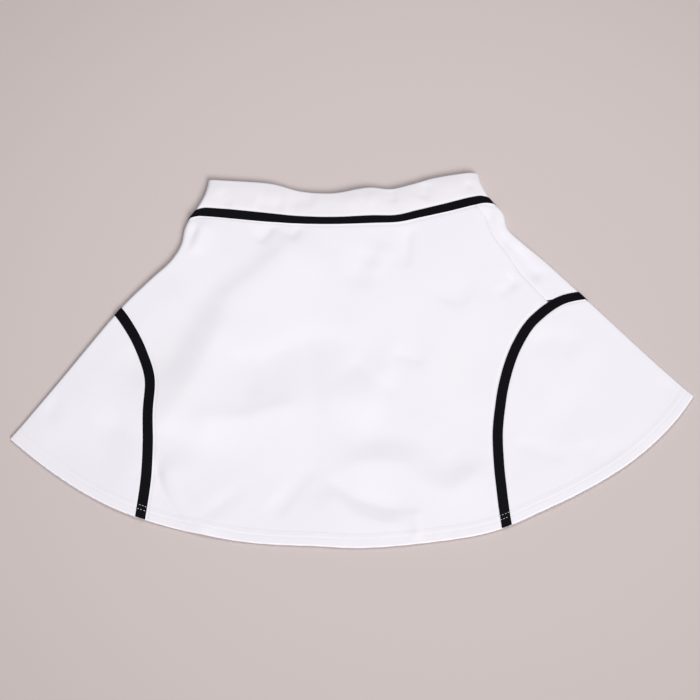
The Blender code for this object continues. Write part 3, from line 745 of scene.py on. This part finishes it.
# The hem's two rows of white polyester thread, a twin needle's width apart, hold the cloth that
# is turned up inside.  They run all round, across the tapes' ends too, so all the panels share them
STITCH_LENGTH = 2.5
STITCH_PITCH = 3.2
STITCH_RADIUS = 0.25
STITCH_SUNK = 0.12
STITCH_LOWEST = 0.02


def hem_row_places(height):
    """Even places all round the tube, a true height above the hem's edge."""
    count = int(2 * float(half_girth(1.0)) / STITCH_PITCH)
    share = np.linspace(0, 1, count, endpoint=False)
    down = np.full(count, 1 - height / HEM_RUN)
    for _ in range(4):
        places = flat_places(share * 2 * half_girth(down), down)
        down = 1 - (1 - down) * height / nearest(places, hem_line)
    return share * 2 * half_girth(down), down


def stitch_depths(around, down):
    flat = flat_places(around, down)
    on_upper = upper_side(around, down)
    to_tape = np.where(on_upper, nearest(flat, upper_tapes), nearest(flat, under_tapes))
    front, back = panel_depths(around, down)
    on_tape = to_tape < TAPE_WIDTH / 2
    under = np.where(on_tape, 0.0, back) + 1.1 * STITCH_RADIUS
    return np.where(on_tape, -TAPE_PROUD, front) + STITCH_SUNK, under


def stitch_rows():
    """A rounded stitch at each place, all in one mesh; they shorten where a row turns a fold."""
    one = bmesh.new()
    bmesh.ops.create_uvsphere(one, u_segments=6, v_segments=4, radius=1.0)
    shape = np.array([v.co for v in one.verts])
    corners = [[v.index for v in face.verts] for face in one.faces]
    one.free()
    points, faces = [], []
    for height in HEM_STITCH_ROWS:
        around, down = hem_row_places(height)
        front, back = stitch_depths(around, down)
        centres = surface(around, down, front, back)
        outward = surface(around, down, front - 1, back - 1) - centres
        run = np.roll(centres, -1, axis=0) - np.roll(centres, 1, axis=0)
        reach = np.linalg.norm(run, axis=1)
        length_way = run / reach[:, None]
        half_length = STITCH_LENGTH / 2 * np.clip(reach / (2 * STITCH_PITCH), 0.3, 1) ** 2
        side_way = np.cross(outward, length_way)
        side_way /= np.linalg.norm(side_way, axis=1)[:, None]
        up_way = np.cross(length_way, side_way)
        for k, centre in enumerate(centres):
            size = np.array([half_length[k], STITCH_RADIUS, STITCH_RADIUS])
            faces += [[len(points) * len(shape) + c for c in face] for face in corners]
            points.append(centre + (shape * size) @ np.array([length_way[k], side_way[k], up_way[k]]))
    points = np.concatenate(points)
    points[:, 2] = np.maximum(points[:, 2], STITCH_LOWEST)
    mesh = bpy.data.meshes.new("hem_stitching")
    mesh.from_pydata((points * MM).tolist(), [], faces)
    mesh.shade_smooth()
    piece = bpy.data.objects.new("hem_stitching", mesh)
    bpy.context.scene.collection.objects.link(piece)
    return piece


def thread_material():
    """Spun polyester thread: white, a little glossier than the knit, with the twist of its ply."""
    material = bpy.data.materials.new("white_polyester_thread")
    material.use_nodes = True
    tree = material.node_tree
    shader = tree.nodes["Principled BSDF"]
    shader.inputs["Base Color"].default_value = linear("#f1eff4")
    shader.inputs["Roughness"].default_value = 0.5
    place = add_node(tree, "ShaderNodeTexCoord").outputs
    ply = add_node(tree, "ShaderNodeTexWave", inputs={"Scale": 900.0}, links={"Vector": place["Object"]})
    ply_relief = {"Strength": 0.3, "Distance": 0.05 * MM}
    twist = add_node(tree, "ShaderNodeBump", inputs=ply_relief, links={"Height": ply.outputs["Fac"]})
    tree.links.new(twist.outputs["Normal"], shader.inputs["Normal"])
    return material


hem_stitching = stitch_rows()
hem_stitching.data.materials.append(thread_material())
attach(hem_stitching, "root")

front_panel = cloth_mesh("front_panel_cloth", panel_places(False, 165), False, panel_depths, CLOTH_WALL)
back_panel = cloth_mesh("back_panel_cloth", panel_places(True, 110), True, panel_depths, CLOTH_WALL)
for piece, node, below in (
    (front_panel, "front_panel", "back_panel_cloth"), (back_panel, "back_panel", "floor")
):
    piece.data.materials.append(white_knit)
    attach(piece, "root")
    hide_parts(node)
    cut = (0.45, 0.375)

# ---------------------------------------------------------------------------------------------
# Side panels.  Two more pieces of the same knit, with arched tops, let in at the sides and
# hemmed with the rest.  Each lies folded over its side of the skirt.
# ---------------------------------------------------------------------------------------------
SIDE_COLUMNS = 42


def side_places(arch):
    offset = -(TAPE_WIDTH / 2 - UNDER_TAPE)
    rows = []
    for station in arch_stations(arch):
        start = arch_edge(arch, station, -1, offset)
        end = arch_edge(arch, station, 1, offset)
        turns = [min(max(a, start[0]), end[0]) for a in fold_turns(end[1])]
        behind = close_spread(start[0], turns[0], SIDE_COLUMNS, 1, 0)[:-1]
        before = close_spread(turns[-1], end[0], SIDE_COLUMNS, 0, 1)[1:]
        rows.append(between(start, end, behind + turns + before))
    return rows


def side_depths(around, down):
    return cloth_depths(around, down, np.full(np.shape(down), 40.0))


for side, arch, cut, area in (
    ("left", LEFT_ARCH, (0.39, 0.18), 0.047), ("right", RIGHT_ARCH, (0.37, 0.185), 0.040)
):
    name = f"side_panel_{side}_cloth"
    piece = cloth_mesh(name, side_places(arch), side == "right", side_depths, CLOTH_WALL)
    piece.data.materials.append(white_knit)
    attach(piece, "root")
    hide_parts(f"side_panel_{side}")

# ---------------------------------------------------------------------------------------------
# Waistband.  A tube of the same knit round a 30 mm soft elastic, its top edge a plain fold.
# The elastic is relaxed, so the band waves a little and its edge dips.
# ---------------------------------------------------------------------------------------------
BAND_WALL = 2.0
BAND_TOP_ROUND = 1.5
BAND_SWELL = 0.9
BAND_WAVE = 0.5
BAND_WAVE_SIZE = 24.0
BAND_STEPS_MM = [35, 34.9, 34.7, 34.4, 34, 33.5, 32.8, 32, 30.5, 28.5, 26, 23.5, 21, 18.5, 16]
BAND_STEPS_MM += [13.5, 11, 9.5, 8.3, 7.4, 6.7, 6.1, 5.6, 5.2, 4.6, 3.8, 3]
BAND_COLUMNS = 190


def ring_places(rows_mm, columns):
    """Whole sections round both folds, some millimetres above the waist seam."""
    rows = []
    for mm in rows_mm:
        down = -mm / LENGTH_AT_SIDE
        half = float(half_girth(down))
        turns = fold_turns(down)
        one_side = turns + spread(turns[-1], half + turns[0], columns)[1:-1]
        rows.append([(a, down) for a in one_side + [a + half for a in one_side] + [2 * half + turns[0]]])
    return rows


def band_depths(around, down):
    height = -down * LENGTH_AT_SIDE
    below_top = BAND_HEIGHT - height
    inside = np.maximum(BAND_TOP_ROUND - below_top, 0)
    rounded = BAND_TOP_ROUND - np.sqrt(np.maximum(BAND_TOP_ROUND**2 - inside**2, 0))
    share = np.clip((height - 4) / (BAND_HEIGHT - 4), 0, 1)
    swell = BAND_SWELL * np.sin(pi * share)
    flat = flat_places(around, down)
    wave = BAND_WAVE * undulation(flat[..., 0], flat[..., 1], BAND_WAVE_SIZE, seed=1.9)
    tuck = 0.35 * step_down(height, 5.2, 8.0)
    lift = (TAPE_THICK + 0.08) * step_down(height, 5.3, 9.0)
    return rounded + tuck - swell + wave * np.sin(pi * share), np.maximum(lift + rounded, 0.0)


white_elastic = knit_material("white_knit_over_elastic", "#f0edf3", "#e9e6ed", 0.82, 0.45)
band_places = ring_places(BAND_STEPS_MM, BAND_COLUMNS)
waistband = cloth_mesh("waistband_cloth", band_places, False, band_depths, BAND_WALL)
waistband.data.materials.append(white_elastic)
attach(waistband, "root")
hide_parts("waistband")

# ---------------------------------------------------------------------------------------------
# Tapes.  Black woven polyester tape, 10 mm wide and half a millimetre thick, sewn flat over the
# seams with a row of stitching along each edge: round the waist and over both arches.
# ---------------------------------------------------------------------------------------------
TAPE_HALF_ROWS_MM = [5.0, 4.97, 4.85, 4.6, 4.2, 3.7, 2.5, 1.2]
TAPE_ROWS_MM = TAPE_HALF_ROWS_MM + [0.0] + [-mm for mm in reversed(TAPE_HALF_ROWS_MM)]
TAPE_PULL = 0.12
TAPE_PULL_SIZE = 13.0
TAPE_EDGE_ROUND = 0.3
RIB_MM = 1.0


def tape_depths_for(offsets):
    """The tape's crown: flat, with rounded edges, and a needle line along each."""
    offset = np.abs(np.array(offsets))[:, None]
    inside = np.maximum(offset - (TAPE_WIDTH / 2 - TAPE_EDGE_ROUND), 0)
    rounded = TAPE_EDGE_ROUND - np.sqrt(np.maximum(TAPE_EDGE_ROUND**2 - inside**2, 0))
    needle = 0.08 * np.exp(-(((offset - 3.8) / 0.35) ** 2))

    def depths(around, down):
        flat = flat_places(around, down)
        pull = TAPE_PULL * undulation(flat[..., 0], flat[..., 1], TAPE_PULL_SIZE, seed=4.4)
        return -TAPE_PROUD + rounded + needle + pull, rounded + needle

    return depths


def tape_material():
    """Woven polyester tape: near black, slightly satin, with fine ribs across it."""
    material = bpy.data.materials.new("black_woven_tape")
    material.use_nodes = True
    tree = material.node_tree
    shader = tree.nodes["Principled BSDF"]
    shader.inputs["Roughness"].default_value = 0.6
    shader.inputs["Sheen Weight"].default_value = 0.02
    shader.inputs["Sheen Roughness"].default_value = 0.4
    shader.inputs["Specular IOR Level"].default_value = 0.1
    grain = add_node(tree, "ShaderNodeUVMap", {"uv_map": "grain"})
    split = add_node(tree, "ShaderNodeSeparateXYZ", links={"Vector": grain.outputs["UV"]})
    times, times_plus = {"operation": "MULTIPLY"}, {"operation": "MULTIPLY_ADD"}
    slanted = {0: split.outputs["Y"], 2: split.outputs["X"]}
    slant = add_node(tree, "ShaderNodeMath", times_plus, {1: 0.55}, slanted)
    turns = add_node(tree, "ShaderNodeMath", times, {1: 2 * pi / (RIB_MM * MM)}, {0: slant.outputs[0]})
    rib = add_node(tree, "ShaderNodeMath", {"operation": "SINE"}, links={0: turns.outputs[0]})
    fine = {"Scale": 260.0, "Detail": 2.0}
    cloud = add_node(tree, "ShaderNodeTexNoise", inputs=fine, links={"Vector": grain.outputs["UV"]})
    ribbed = add_node(tree, "ShaderNodeMath", times_plus, {1: 0.25, 2: 0.25}, {0: rib.outputs[0]})
    blend = {0: cloud.outputs["Fac"], 2: ribbed.outputs[0]}
    share = add_node(tree, "ShaderNodeMath", times_plus, {1: 0.5}, blend)
    shades = {6: linear("#020207"), 7: linear("#0a0811")}
    tint = add_node(tree, "ShaderNodeMix", {"data_type": "RGBA"}, shades, {0: share.outputs[0]})
    tree.links.new(tint.outputs[2], shader.inputs["Base Color"])
    rib_relief = {"Strength": 0.5, "Distance": 0.08 * MM}
    bump = add_node(tree, "ShaderNodeBump", inputs=rib_relief, links={"Height": rib.outputs[0]})
    tree.links.new(bump.outputs["Normal"], shader.inputs["Normal"])
    return material


black_tape = tape_material()


TOP_COLUMNS = 10
FOLD_COLUMNS = 18
LEG_COLUMNS = 130
RING_COLUMNS = 230
TAPE_CUT_WIDTH = 0.0101


def arch_tape_places(arch, offsets):
    """The tape's grid, from one end at the hem over the arch's top to the other."""
    stations = spread(0.0, station_past_fold(arch, -NEAR_FOLD), TOP_COLUMNS)[:-1]
    stations += [station_past_fold(arch, c) for c in spread(-NEAR_FOLD, NEAR_FOLD, FOLD_COLUMNS)]
    stations += spread(stations[-1], 2.0, LEG_COLUMNS)[1:]
    legs = [(station, -1) for station in reversed(stations[1:])] + [(station, 1) for station in stations]
    return [[arch_edge(arch, station, side, offset) for station, side in legs] for offset in offsets]


tape_depths = tape_depths_for(TAPE_ROWS_MM)
tapes = []
for side, arch, length in (("left", LEFT_ARCH, 0.56), ("right", RIGHT_ARCH, 0.525)):
    places = arch_tape_places(arch, TAPE_ROWS_MM)
    piece = cloth_mesh(f"arch_tape_{side}_cloth", places, side == "right", tape_depths, TAPE_THICK)
    tapes.append((piece, f"arch_tape_{side}", (length, TAPE_CUT_WIDTH)))
places = ring_places(TAPE_ROWS_MM, RING_COLUMNS)
piece = cloth_mesh("waist_tape_cloth", places, False, tape_depths, TAPE_THICK)
tapes.append((piece, "waist_tape", (0.64, TAPE_CUT_WIDTH)))
for piece, node, cut in tapes:
    piece.data.materials.append(black_tape)
    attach(piece, "root")
    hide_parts(node)

# ---------------------------------------------------------------------------------------------
# Where it is shown: lying on a wide sheet of warm grey paper under soft studio light from the
# hem's side, seen from above the hem.
# ---------------------------------------------------------------------------------------------
FLOOR_SIZE = 8.0
FLOOR_BELOW = 0.0004
bpy.ops.mesh.primitive_plane_add(size=FLOOR_SIZE, location=(0, 0, -FLOOR_BELOW))
floor = bpy.context.object
floor.name = "floor"
paper = bpy.data.materials.new("warm_grey_paper")
paper.use_nodes = True
paper_shader = paper.node_tree.nodes["Principled BSDF"]
paper_shader.inputs["Base Color"].default_value = linear("#d0c5c3")
paper_shader.inputs["Roughness"].default_value = 0.9
paper_shader.inputs["Specular IOR Level"].default_value = 0.1
floor.data.materials.append(paper)

# A wide, soft key from beyond the hem, a little to the right, and a softer fill overhead
sun = bpy.data.lights.new("soft_key", "SUN")
sun.energy = 2.5
sun.angle = radians(26)
sun.color = (1.0, 0.99, 0.985)
key = bpy.data.objects.new("soft_key", sun)
key.rotation_euler = Vector((0.35, -0.95, 0.84)).to_track_quat("Z", "Y").to_euler()
bpy.context.scene.collection.objects.link(key)
fill = bpy.data.lights.new("overhead_fill", "SPOT")
fill.energy = 12.8
fill.spot_size = radians(80)
fill.spot_blend = 0.5
fill.shadow_soft_size = 0.25
fill.color = (1.0, 0.995, 0.995)
overhead = bpy.data.objects.new("overhead_fill", fill)
overhead.location = (0.09, 0.01, 1.0)
bpy.context.scene.collection.objects.link(overhead)
world = bpy.data.worlds.new("studio")
bpy.context.scene.world = world
world.use_nodes = True
world.node_tree.nodes["Background"].inputs["Color"].default_value = (1.0, 0.985, 1.0, 1.0)
world.node_tree.nodes["Background"].inputs["Strength"].default_value = 0.21

CAMERA_AZIMUTH = radians(-3)
CAMERA_ELEVATION = radians(65)
CAMERA_DISTANCE = 1.6
camera_data = bpy.data.cameras.new("camera")
camera_data.lens = 82.3
camera_data.sensor_width = 36.0
camera = bpy.data.objects.new("camera", camera_data)
aim = Vector((0.0, SHIFT_Y * MM, 0.0))
level = cos(CAMERA_ELEVATION)
stand = Vector((sin(CAMERA_AZIMUTH) * level, -cos(CAMERA_AZIMUTH) * level, sin(CAMERA_ELEVATION)))
camera.location = aim + stand * CAMERA_DISTANCE
camera.rotation_euler = (-stand).to_track_quat("-Z", "Y").to_euler()
bpy.context.scene.collection.objects.link(camera)
bpy.context.scene.camera = camera
bpy.context.scene.view_settings.view_transform = "Standard"
